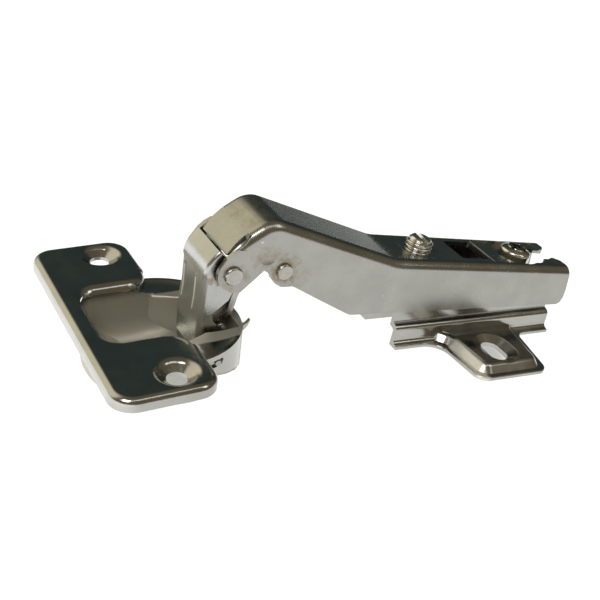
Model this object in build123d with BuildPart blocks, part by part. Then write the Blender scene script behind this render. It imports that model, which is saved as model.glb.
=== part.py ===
from build123d import *
import math
import os

# Concealed cabinet hinge, door-open pose, millimetres, +Z up.
# Origin: on the seating plane of the mounting plate, midway between its two
# screw slots.  +X runs along the arm away from the cup, Y runs across.

# ---------------------------------------------------------------- dimensions
# cup: its own frame sits on the cup axis at door-surface level
CUP_X, CUP_Z, CUP_TILT = -83.68, 10.52, 5.227
CUP_R = 17.5            # 35 mm bore in the door
CUP_DEPTH = 12.6
CUP_WALL = 1.1
CUP_EDGE_R = 3.0
FLANGE_X0, FLANGE_X1 = -21.04, 1.3
FLANGE_HALF = 30.4
FLANGE_TOP = 2.87
FLANGE_T = 1.0
FLANGE_CORNER = 5.0
FLANGE_ROUND = 1.5
MOUTH_ROUND = 6.0
WELL_LIP = 2.4
FLANGE_HOLE_X, FLANGE_HOLE_Y = -6.3, 24.0
FLANGE_HOLE_R, FLANGE_SINK_R = 2.2, 5.1
CHEEK_Z = -1.0
CHEEK_X0 = 1.1
WELL_HALF, WELL_HALF_NARROW = 10.0, 7.4
WELL_X0, WELL_X1 = -15.6, 15.4
WELL_FLOOR = -11.6
ANCHOR_X, ANCHOR_Z, ANCHOR_R = 6.1, -3.0, 0.65
ANCHOR_START, ANCHOR_END = 9.37, 16.6

# arm: its own frame sits on top of the web at the middle of the square window
ARM_X, ARM_Z, ARM_TILT = -4.0, 21.86, -5.491
ARM_HALF = 8.13
ARM_T = 1.2
ARM_FOLD = 2.3
TONGUE_HALF = 6.2

# pivots, cup frame for the lower two, arm frame for the upper two
P1 = (11.832, -4.0)     # outer link in the cup
P2 = (10.852, -7.05)    # inner link in the cup
PA = (-68.75, -4.49)    # outer link in the arm
PB = (-56.70, -3.06)    # inner link in the arm
AXLE1_R, AXLE2_R = 1.0, 0.9
RIVET_A_R, RIVET_B_R = 1.5, 1.25
RIVET_A_HEAD, RIVET_B_HEAD = 2.1, 1.9
RIVET_PROUD = 0.8
RUN = 0.05              # running clearance on a radius
EYE_B_BORE = 2.08       # wide bore at the opened pivot

# links
OUT_HALF = 6.3
OUT_T = 1.1
HOOD_HALF = 6.3
IN_HALF = 3.0

# mounting plate
RAIL_X0, RAIL_X1 = -24.9, 24.4
RAIL_TOP = 13.0
RAIL_HALF, RAIL_WALL_HALF, RAIL_FOOT_HALF = 5.3, 7.0, 8.6
PLATE_T = 1.2
FOOT_T = 0.95
SLOT_PITCH_HALF = 16.0
SLOT_W, SLOT_L = 5.0, 8.0
WING_TOP = 2.9

# screws, positions on the arm web
ADJ_X, ADJ_R = -15.6, 3.3
ADJ_TOP, ADJ_BOTTOM = 2.95, -10.0
CLAMP_X, CLAMP_R, CLAMP_HEAD_R = 16.7, 2.0, 4.0
CLAMP_SEAT, CLAMP_TOP = -1.65, 1.45
SEAT_FLOOR = -1.7

# ------------------------------------------------------------ working planes
cc, cs = math.cos(math.radians(CUP_TILT)), math.sin(math.radians(CUP_TILT))
ac, as_ = math.cos(math.radians(ARM_TILT)), math.sin(math.radians(ARM_TILT))
CUP = Plane(origin=(CUP_X, 0, CUP_Z), x_dir=(cc, 0, cs), z_dir=(-cs, 0, cc))
CUP_SIDE = Plane(origin=(CUP_X, 0, CUP_Z), x_dir=(cc, 0, cs), z_dir=(0, -1, 0))
ARM = Plane(origin=(ARM_X, 0, ARM_Z), x_dir=(ac, 0, as_), z_dir=(-as_, 0, ac))
ARM_SIDE = Plane(origin=(ARM_X, 0, ARM_Z), x_dir=(ac, 0, as_), z_dir=(0, -1, 0))


UP_CUP = Axis(CUP.origin, CUP.z_dir)


def arm_to_cup(p):
    # a point of the arm's side view seen in the cup's side view
    xw = ARM_X + ac * p[0] - as_ * p[1]
    zw = ARM_Z + as_ * p[0] + ac * p[1]
    dx, dz = xw - CUP_X, zw - CUP_Z
    return (cc * dx + cs * dz, -cs * dx + cc * dz)


A_C = arm_to_cup(PA)
B_C = arm_to_cup(PB)


def around(c, r, a0, a1, n=8):
    # points on an arc, degrees, side view
    return [(c[0] + r * math.cos(math.radians(a0 + (a1 - a0) * i / n)),
             c[1] + r * math.sin(math.radians(a0 + (a1 - a0) * i / n)))
            for i in range(n + 1)]


# ------------------------------------------------------------------ hinge cup
# pressed cup body: a 35 mm bowl with a rounded bottom edge, its cheeks set
# below the flange
with BuildPart() as bowl:
    with BuildSketch(CUP.offset(-CUP_DEPTH)):
        Circle(CUP_R)
    extrude(amount=CUP_DEPTH + FLANGE_TOP - FLANGE_T + 0.3)
    fillet(bowl.faces().sort_by(UP_CUP)[0].edges(), CUP_EDGE_R)
    with BuildSketch(CUP.offset(CHEEK_Z)):
        with BuildLine():
            Polyline((CHEEK_X0, -20), (25, -20), (25, 20), (CHEEK_X0, 20), close=True)
        make_face()
    extrude(amount=8, mode=Mode.SUBTRACT)

# corners of the well mouth that run down from the flange to the cheeks
with BuildPart() as mouth_ramp:
    with BuildSketch(CUP.offset(CHEEK_Z - 1)):
        with BuildLine():
            c0, r0 = FLANGE_X1 - MOUTH_ROUND, MOUTH_ROUND * math.sqrt(0.5)
            y0 = WELL_HALF + MOUTH_ROUND
            ThreePointArc((c0, -WELL_HALF), (c0 + r0, -y0 + r0), (FLANGE_X1, -y0))
            Polyline((FLANGE_X1, -y0), (FLANGE_X1 + 2, -y0), (FLANGE_X1 + 2, y0), (FLANGE_X1, y0))
            ThreePointArc((FLANGE_X1, y0), (c0 + r0, y0 - r0), (c0, WELL_HALF))
            Line((c0, WELL_HALF), (c0, -WELL_HALF))
        make_face()
    extrude(amount=8)
    with BuildSketch(CUP_SIDE):
        with BuildLine():
            run = Spline((FLANGE_X1 - MOUTH_ROUND - 1, 0.55), (-3.0, 0.36), (-0.6, -0.5), (2.2, CHEEK_Z),
                         tangents=((1, -0.05), (1, 0)))
            Polyline(run @ 1, (5, CHEEK_Z), (5, 9), (FLANGE_X1 - MOUTH_ROUND - 1, 9), run @ 0)
        make_face()
    extrude(amount=20, both=True, mode=Mode.INTERSECT)

# metal under the two corners of the well mouth
with BuildPart() as mouth_fill:
    with BuildSketch(CUP.offset(CHEEK_Z - CUP_WALL)):
        with BuildLine():
            Polyline((-6.2, 10.6), (0.6, 10.6), (0.6, 17.0), (-6.2, 17.0), close=True)
        make_face()
        with BuildLine():
            Polyline((-6.2, -10.6), (0.6, -10.6), (0.6, -17.0), (-6.2, -17.0), close=True)
        make_face()
    extrude(amount=CUP_WALL - CHEEK_Z + FLANGE_TOP - FLANGE_T + 0.2)
    add(bowl.part, mode=Mode.INTERSECT)

# outside of the well that the arm folds into
with BuildPart() as well_outer:
    with BuildSketch(CUP.offset(-CUP_DEPTH - 1)):
        with BuildLine():
            Polyline((-19, -11.1), (1.0, -11.1), (7.6, -8.5), (19, -8.5),
                     (19, 8.5), (7.6, 8.5), (1.0, 11.1), (-19, 11.1), close=True)
        make_face()
    extrude(amount=CUP_DEPTH + 6)
    add(bowl.part, mode=Mode.INTERSECT)

# lower part of the skirt that is cut away beside the well
with BuildPart() as skirt_cut:
    with BuildSketch(CUP_SIDE):
        with BuildLine():
            Polyline((1.6, -14), (2.6, -4.6), (4.9, -5.2), (12.2, -8.1), (15.6, -10.6), (20, -14), close=True)
        make_face()
    extrude(amount=20, both=True)
    with BuildSketch(CUP.offset(-CUP_DEPTH - 3)):
        with BuildLine():
            Polyline((-19, -11.4), (1.0, -11.4), (7.6, -8.8), (25, -8.8),
                     (25, 8.8), (7.6, 8.8), (1.0, 11.4), (-19, 11.4), close=True)
        make_face()
    extrude(amount=CUP_DEPTH + 8, mode=Mode.SUBTRACT)

# cross section of the well: rounded like a trough, full depth beside the links
with BuildPart() as well_section:
    with BuildSketch(Plane(origin=CUP.from_local_coords((-20, 0, 0)), x_dir=(0, 1, 0), z_dir=CUP.x_dir)) as trough:
        with BuildLine():
            Polyline((-WELL_HALF, 8), (-WELL_HALF, WELL_FLOOR), (WELL_HALF, WELL_FLOOR), (WELL_HALF, 8), close=True)
        make_face()
        fillet([v for v in trough.vertices() if v.Y < 0], 6.0)
    extrude(amount=26.8)
    with BuildSketch(Plane(origin=CUP.from_local_coords((6.7, 0, 0)), x_dir=(0, 1, 0), z_dir=CUP.x_dir)):
        with BuildLine():
            Polyline((-9, 8), (-9, WELL_FLOOR - 1), (9, WELL_FLOOR - 1), (9, 8), close=True)
        make_face()
    extrude(amount=14)

# inside of the well: plan shape cut to a scooped side profile
with BuildPart() as well_inner:
    with BuildSketch(CUP.offset(WELL_FLOOR - 0.5)) as well_plan:
        with BuildLine():
            Polyline((WELL_X0, -WELL_HALF), (0.6, -WELL_HALF), (6.8, -WELL_HALF_NARROW),
                     (WELL_X1, -WELL_HALF_NARROW), (WELL_X1, WELL_HALF_NARROW),
                     (6.8, WELL_HALF_NARROW), (0.6, WELL_HALF), (WELL_X0, WELL_HALF), close=True)
        make_face()
        fillet([v for v in well_plan.vertices() if v.X < -10], 3.6)
        fillet([v for v in well_plan.vertices() if 0 < v.X < 2], 0.9)
    extrude(amount=20)
    with BuildSketch(CUP_SIDE) as well_side:
        with BuildLine():
            scoop = Spline((WELL_X0 - 1, 1.6), (-14.9, -0.6), (-13.2, -4.2), (-10.6, -7.7), (-7.2, -10.3),
                           (-2.6, WELL_FLOOR), tangents=((0.55, -1), (1, 0)))
            Polyline(scoop @ 1, (WELL_X1, WELL_FLOOR), (WELL_X1 + 1, 6), (WELL_X0 - 1, 6), scoop @ 0)
        make_face()
    extrude(amount=20, both=True, mode=Mode.INTERSECT)
    add(well_section.part, mode=Mode.INTERSECT)

# broad rounding of the well's upper edge: sides, corners, rear and mouth
LIP_Z = FLANGE_TOP - WELL_LIP
LIP_A, LIP_B = WELL_LIP * (1 - math.sqrt(0.5)), WELL_LIP * math.sqrt(0.5)
MOUTH_X = FLANGE_X1 - MOUTH_ROUND
with BuildPart() as lip_cut:
    with BuildSketch(Plane(origin=CUP.from_local_coords((-12.0, 0, 0)), x_dir=(0, 1, 0), z_dir=CUP.x_dir)):
        with BuildLine():
            ThreePointArc((WELL_HALF, LIP_Z), (WELL_HALF + LIP_A, LIP_Z + LIP_B), (WELL_HALF + WELL_LIP, FLANGE_TOP))
            Polyline((WELL_HALF + WELL_LIP, FLANGE_TOP), (WELL_HALF + WELL_LIP, 3.4), (WELL_HALF - 0.3, 3.4),
                     (WELL_HALF - 0.3, LIP_Z), (WELL_HALF, LIP_Z))
        make_face()
        with BuildLine():
            ThreePointArc((-WELL_HALF, LIP_Z), (-WELL_HALF - LIP_A, LIP_Z + LIP_B), (-WELL_HALF - WELL_LIP, FLANGE_TOP))
            Polyline((-WELL_HALF - WELL_LIP, FLANGE_TOP), (-WELL_HALF - WELL_LIP, 3.4), (-WELL_HALF + 0.3, 3.4),
                     (-WELL_HALF + 0.3, LIP_Z), (-WELL_HALF, LIP_Z))
        make_face()
    extrude(amount=MOUTH_X + 12.0)
    with BuildSketch(CUP_SIDE):
        with BuildLine():
            ThreePointArc((WELL_X0, LIP_Z), (WELL_X0 - LIP_A, LIP_Z + LIP_B), (WELL_X0 - WELL_LIP, FLANGE_TOP))
            Polyline((WELL_X0 - WELL_LIP, FLANGE_TOP), (WELL_X0 - WELL_LIP, 3.4), (WELL_X0 + 0.3, 3.4),
                     (WELL_X0 + 0.3, LIP_Z), (WELL_X0, LIP_Z))
        make_face()
    extrude(amount=WELL_HALF - 3.6, both=True)
    with BuildSketch(CUP_SIDE.offset(WELL_HALF - 3.6)):
        with BuildLine():
            ThreePointArc((WELL_X0, LIP_Z), (WELL_X0 - LIP_A, LIP_Z + LIP_B), (WELL_X0 - WELL_LIP, FLANGE_TOP))
            Polyline((WELL_X0 - WELL_LIP, FLANGE_TOP), (WELL_X0 - WELL_LIP, 3.4), (WELL_X0 + 0.3, 3.4),
                     (WELL_X0 + 0.3, LIP_Z), (WELL_X0, LIP_Z))
        make_face()
    revolve(axis=Axis(CUP.from_local_coords((WELL_X0 + 3.6, 3.6 - WELL_HALF, 0)), CUP.z_dir), revolution_arc=90)
    with BuildSketch(CUP_SIDE.offset(3.6 - WELL_HALF)):
        with BuildLine():
            ThreePointArc((WELL_X0, LIP_Z), (WELL_X0 - LIP_A, LIP_Z + LIP_B), (WELL_X0 - WELL_LIP, FLANGE_TOP))
            Polyline((WELL_X0 - WELL_LIP, FLANGE_TOP), (WELL_X0 - WELL_LIP, 3.4), (WELL_X0 + 0.3, 3.4),
                     (WELL_X0 + 0.3, LIP_Z), (WELL_X0, LIP_Z))
        make_face()
    revolve(axis=Axis(CUP.from_local_coords((WELL_X0 + 3.6, WELL_HALF - 3.6, 0)), CUP.z_dir * -1), revolution_arc=90)
    with BuildSketch(CUP_SIDE.offset(WELL_HALF + MOUTH_ROUND)):
        with BuildLine():
            ThreePointArc((FLANGE_X1, LIP_Z), (FLANGE_X1 - LIP_A, LIP_Z + LIP_B), (FLANGE_X1 - WELL_LIP, FLANGE_TOP))
            Polyline((FLANGE_X1 - WELL_LIP, FLANGE_TOP), (FLANGE_X1 - WELL_LIP, 3.4), (FLANGE_X1 + 0.3, 3.4),
                     (FLANGE_X1 + 0.3, LIP_Z), (FLANGE_X1, LIP_Z))
        make_face()
    revolve(axis=Axis(CUP.from_local_coords((MOUTH_X, -WELL_HALF - MOUTH_ROUND, 0)), CUP.z_dir), revolution_arc=90)
    with BuildSketch(CUP_SIDE.offset(-WELL_HALF - MOUTH_ROUND)):
        with BuildLine():
            ThreePointArc((FLANGE_X1, LIP_Z), (FLANGE_X1 - LIP_A, LIP_Z + LIP_B), (FLANGE_X1 - WELL_LIP, FLANGE_TOP))
            Polyline((FLANGE_X1 - WELL_LIP, FLANGE_TOP), (FLANGE_X1 - WELL_LIP, 3.4), (FLANGE_X1 + 0.3, 3.4),
                     (FLANGE_X1 + 0.3, LIP_Z), (FLANGE_X1, LIP_Z))
        make_face()
    revolve(axis=Axis(CUP.from_local_coords((MOUTH_X, WELL_HALF + MOUTH_ROUND, 0)), CUP.z_dir * -1), revolution_arc=90)

# shallow ring dish pressed into the two cheeks
with BuildPart() as cheek_dish:
    with BuildSketch(CUP_SIDE):
        with BuildLine():
            ThreePointArc((9.6, CHEEK_Z), (13.2, CHEEK_Z - 0.5), (16.7, CHEEK_Z))
            Polyline((16.7, CHEEK_Z), (16.7, CHEEK_Z + 0.3), (9.6, CHEEK_Z + 0.3), (9.6, CHEEK_Z))
        make_face()
    revolve(axis=UP_CUP)
    with BuildSketch(CUP.offset(-4)):
        with BuildLine():
            Polyline((1.9, -20), (20, -20), (20, 20), (1.9, 20), close=True)
        make_face()
    extrude(amount=8, mode=Mode.INTERSECT)

with BuildPart() as hinge_cup:
    # flange plate with the well mouth opening to the right
    with BuildSketch(CUP) as flange_plan:
        with BuildLine():
            Polyline((FLANGE_X0, -FLANGE_HALF), (FLANGE_X1, -FLANGE_HALF), (FLANGE_X1, -WELL_HALF),
                     (WELL_X0, -WELL_HALF), (WELL_X0, WELL_HALF), (FLANGE_X1, WELL_HALF),
                     (FLANGE_X1, FLANGE_HALF), (FLANGE_X0, FLANGE_HALF), close=True)
        make_face()
        fillet([v for v in flange_plan.vertices() if abs(abs(v.Y) - FLANGE_HALF) < 0.1], FLANGE_CORNER)
        fillet([v for v in flange_plan.vertices() if abs(abs(v.Y) - WELL_HALF) < 0.1 and v.X < -10], 3.6)
        fillet([v for v in flange_plan.vertices() if abs(abs(v.Y) - WELL_HALF) < 0.1 and v.X > -1], MOUTH_ROUND)
    extrude(amount=FLANGE_TOP)
    fillet(hinge_cup.faces().sort_by(UP_CUP)[-1].edges(), FLANGE_ROUND)
    # hollow underside of the flange
    with BuildSketch(CUP.offset(-0.5)) as under_plan:
        with BuildLine():
            Polyline((FLANGE_X0 + FLANGE_T, -FLANGE_HALF + FLANGE_T), (FLANGE_X1 - FLANGE_T, -FLANGE_HALF + FLANGE_T),
                     (FLANGE_X1 - FLANGE_T, FLANGE_HALF - FLANGE_T), (FLANGE_X0 + FLANGE_T, FLANGE_HALF - FLANGE_T), close=True)
        make_face()
        fillet(under_plan.vertices(), FLANGE_CORNER - FLANGE_T)
    extrude(amount=0.5 + FLANGE_TOP - FLANGE_T, mode=Mode.SUBTRACT)
    # bowl, then its hollow, then the well walls and the well
    add(bowl.part)
    with BuildSketch(CUP.offset(-CUP_DEPTH - 0.5)):
        Circle(CUP_R - CUP_WALL)
    extrude(amount=CUP_DEPTH + 0.5 + CHEEK_Z - CUP_WALL, mode=Mode.SUBTRACT)
    with BuildSketch(CUP.offset(CHEEK_Z - CUP_WALL - 0.5)):
        with BuildLine():
            ThreePointArc((0, -CUP_R + CUP_WALL), (-CUP_R + CUP_WALL, 0), (0, CUP_R - CUP_WALL))
            Line((0, CUP_R - CUP_WALL), (0, -CUP_R + CUP_WALL))
        make_face()
    extrude(amount=0.5 + CUP_WALL - CHEEK_Z + FLANGE_TOP - FLANGE_T, mode=Mode.SUBTRACT)
    add(well_outer.part)
    add(well_inner.part, mode=Mode.SUBTRACT)
    add(skirt_cut.part, mode=Mode.SUBTRACT)
    # rounded inner edges of the cheeks
    lips = []
    for e in hinge_cup.edges():
        m = CUP.to_local_coords(e.position_at(0.5))
        if abs(m.Z - CHEEK_Z) < 0.02 and abs(m.Y) < 9.9 and 1.2 < m.X < 14:
            lips.append(e)
    fillet(lips, 0.7)
    add(mouth_fill.part)
    add(mouth_ramp.part, mode=Mode.SUBTRACT)
    add(lip_cut.part, mode=Mode.SUBTRACT)
    add(cheek_dish.part, mode=Mode.SUBTRACT)
    # small upturned lugs at the front ends of the cheeks
    with BuildSketch(CUP_SIDE.offset(6.7)):
        with BuildLine():
            lug_a = Spline((14.9, -1.25), (16.1, -0.95), (17.35, 0.15))
            lug_b = Spline(lug_a @ 1, (17.0, -1.0), (15.9, -2.3))
            Polyline(lug_b @ 1, (14.9, -2.3), lug_a @ 0)
        make_face()
    extrude(amount=0.9)
    with BuildSketch(CUP_SIDE.offset(-6.7)):
        with BuildLine():
            lug_c = Spline((14.9, -1.25), (16.1, -0.95), (17.35, 0.15))
            lug_d = Spline(lug_c @ 1, (17.0, -1.0), (15.9, -2.3))
            Polyline(lug_d @ 1, (14.9, -2.3), lug_c @ 0)
        make_face()
    extrude(amount=-0.9)
    # low front wall between the two horns
    with BuildSketch(CUP_SIDE):
        with BuildLine():
            Polyline((14.6, 2), (14.6, -1.6), (15.6, -2.0), (20, -2.0), (20, 2), close=True)
        make_face()
    extrude(amount=6.45, both=True, mode=Mode.SUBTRACT)
    # axle holes through the well walls
    with BuildSketch(CUP_SIDE):
        with Locations(P1):
            Circle(AXLE1_R)
        with Locations(P2):
            Circle(AXLE2_R)
    extrude(amount=9.5, both=True, mode=Mode.SUBTRACT)
    # countersunk fixing holes
    with BuildSketch(CUP.offset(-1)):
        with Locations((FLANGE_HOLE_X, FLANGE_HOLE_Y), (FLANGE_HOLE_X, -FLANGE_HOLE_Y)):
            Circle(FLANGE_HOLE_R)
    extrude(amount=6, mode=Mode.SUBTRACT)
    # pressed conical seats of the fixing holes
    with BuildSketch(CUP_SIDE.offset(FLANGE_HOLE_Y)):
        with BuildLine():
            Polyline((FLANGE_HOLE_X + FLANGE_HOLE_R, 0.3), (FLANGE_HOLE_X + 3.2, 0.3), (FLANGE_HOLE_X + 5.4, 2.2),
                     (FLANGE_HOLE_X + 5.4, 2.5), (FLANGE_HOLE_X + FLANGE_HOLE_R, 2.5), close=True)
        make_face()
    revolve(axis=Axis(CUP.from_local_coords((FLANGE_HOLE_X, -FLANGE_HOLE_Y, 0)), CUP.z_dir))
    with BuildSketch(CUP_SIDE.offset(-FLANGE_HOLE_Y)):
        with BuildLine():
            Polyline((FLANGE_HOLE_X + FLANGE_HOLE_R, 0.3), (FLANGE_HOLE_X + 3.2, 0.3), (FLANGE_HOLE_X + 5.4, 2.2),
                     (FLANGE_HOLE_X + 5.4, 2.5), (FLANGE_HOLE_X + FLANGE_HOLE_R, 2.5), close=True)
        make_face()
    revolve(axis=Axis(CUP.from_local_coords((FLANGE_HOLE_X, FLANGE_HOLE_Y, 0)), CUP.z_dir))
    with BuildSketch(CUP_SIDE.offset(FLANGE_HOLE_Y)):
        with BuildLine():
            ThreePointArc((FLANGE_HOLE_X + 3.75, 2.2), (FLANGE_HOLE_X + 4.32, 2.64), (FLANGE_HOLE_X + FLANGE_SINK_R, FLANGE_TOP))
            Polyline((FLANGE_HOLE_X + FLANGE_SINK_R, FLANGE_TOP), (FLANGE_HOLE_X + FLANGE_SINK_R, 4), (FLANGE_HOLE_X, 4),
                     (FLANGE_HOLE_X, 1.1), (FLANGE_HOLE_X + FLANGE_HOLE_R, 1.1), (FLANGE_HOLE_X + 3.75, 2.2))
        make_face()
    revolve(axis=Axis(CUP.from_local_coords((FLANGE_HOLE_X, -FLANGE_HOLE_Y, 0)), CUP.z_dir), mode=Mode.SUBTRACT)
    with BuildSketch(CUP_SIDE.offset(-FLANGE_HOLE_Y)):
        with BuildLine():
            ThreePointArc((FLANGE_HOLE_X + 3.75, 2.2), (FLANGE_HOLE_X + 4.32, 2.64), (FLANGE_HOLE_X + FLANGE_SINK_R, FLANGE_TOP))
            Polyline((FLANGE_HOLE_X + FLANGE_SINK_R, FLANGE_TOP), (FLANGE_HOLE_X + FLANGE_SINK_R, 4), (FLANGE_HOLE_X, 4),
                     (FLANGE_HOLE_X, 1.1), (FLANGE_HOLE_X + FLANGE_HOLE_R, 1.1), (FLANGE_HOLE_X + 3.75, 2.2))
        make_face()
    revolve(axis=Axis(CUP.from_local_coords((FLANGE_HOLE_X, FLANGE_HOLE_Y, 0)), CUP.z_dir), mode=Mode.SUBTRACT)
    # punched windows in the skirt where the anchor pins show
    with BuildSketch(CUP_SIDE.offset(12.5)):
        with BuildLine():
            Polyline((3.8, -2.15), (7.1, -2.15), (7.6, -2.6), (7.2, -3.7), (5.0, -3.9), (4.2, -3.2), close=True)
        make_face()
    extrude(amount=8, mode=Mode.SUBTRACT)
    with BuildSketch(CUP_SIDE.offset(-12.5)):
        with BuildLine():
            Polyline((3.8, -2.15), (7.1, -2.15), (7.6, -2.6), (7.2, -3.7), (5.0, -3.9), (4.2, -3.2), close=True)
        make_face()
    extrude(amount=-8, mode=Mode.SUBTRACT)

# ----------------------------------------------------- anchor pins in the cup
with BuildPart() as anchor_pins:
    with BuildSketch(CUP_SIDE.offset(ANCHOR_START)):
        with Locations((ANCHOR_X, ANCHOR_Z)):
            Circle(ANCHOR_R)
    extrude(amount=ANCHOR_END - ANCHOR_START)
    with BuildSketch(CUP_SIDE.offset(-ANCHOR_START)):
        with Locations((ANCHOR_X, ANCHOR_Z)):
            Circle(ANCHOR_R)
    extrude(amount=ANCHOR_START - ANCHOR_END)

# ---------------------------------------------------------------- cup axles
with BuildPart() as outer_link_axle:
    with BuildSketch(CUP_SIDE):
        with Locations(P1):
            Circle(AXLE1_R)
    extrude(amount=8.9, both=True)

with BuildPart() as inner_link_axle:
    with BuildSketch(CUP_SIDE):
        with Locations(P2):
            Circle(AXLE2_R)
    extrude(amount=8.9, both=True)

# ---------------------------------------------------------------- hinge arm
def offset_path(pts, d):
    # parallel path at distance d to the right of the direction of travel
    out = []
    n = len(pts)
    for i in range(n):
        dirs = []
        if i > 0:
            dirs.append((pts[i][0] - pts[i - 1][0], pts[i][1] - pts[i - 1][1]))
        if i < n - 1:
            dirs.append((pts[i + 1][0] - pts[i][0], pts[i + 1][1] - pts[i][1]))
        nrm = []
        for dx, dz in dirs:
            l = math.hypot(dx, dz)
            nrm.append((dz / l, -dx / l))
        if len(nrm) == 1:
            out.append((pts[i][0] + d * nrm[0][0], pts[i][1] + d * nrm[0][1]))
        else:
            k = 1 + nrm[0][0] * nrm[1][0] + nrm[0][1] * nrm[1][1]
            out.append((pts[i][0] + d * (nrm[0][0] + nrm[1][0]) / k,
                        pts[i][1] + d * (nrm[0][1] + nrm[1][1]) / k))
    return out


# top of the web, rear to front: flat, rising nose, crest, sloping tongue
WEB = [(36.0, 0.0), (-26.2, 0.0), (-62.1, 8.62), (-68.6, 3.25), (-71.3, -1.9)]
WEB_IN = offset_path(WEB, -ARM_T)

with BuildPart() as arm_hollow:
    with BuildSketch(ARM_SIDE) as hollow_side:
        with BuildLine():
            Polyline(*(WEB_IN[:-1] + [(-69.98, -0.7), (-80, -0.7), (-80, -25), (36, -25)]), close=True)
        make_face()
        fillet([v for v in hollow_side.vertices() if abs(v.X - WEB_IN[1][0]) < 0.01], 15)
        fillet([v for v in hollow_side.vertices() if abs(v.X - WEB_IN[2][0]) < 0.01], 4.8)
        fillet([v for v in hollow_side.vertices() if abs(v.X - WEB_IN[3][0]) < 0.01], 7.8)
    extrude(amount=ARM_HALF - ARM_T, both=True)

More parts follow.
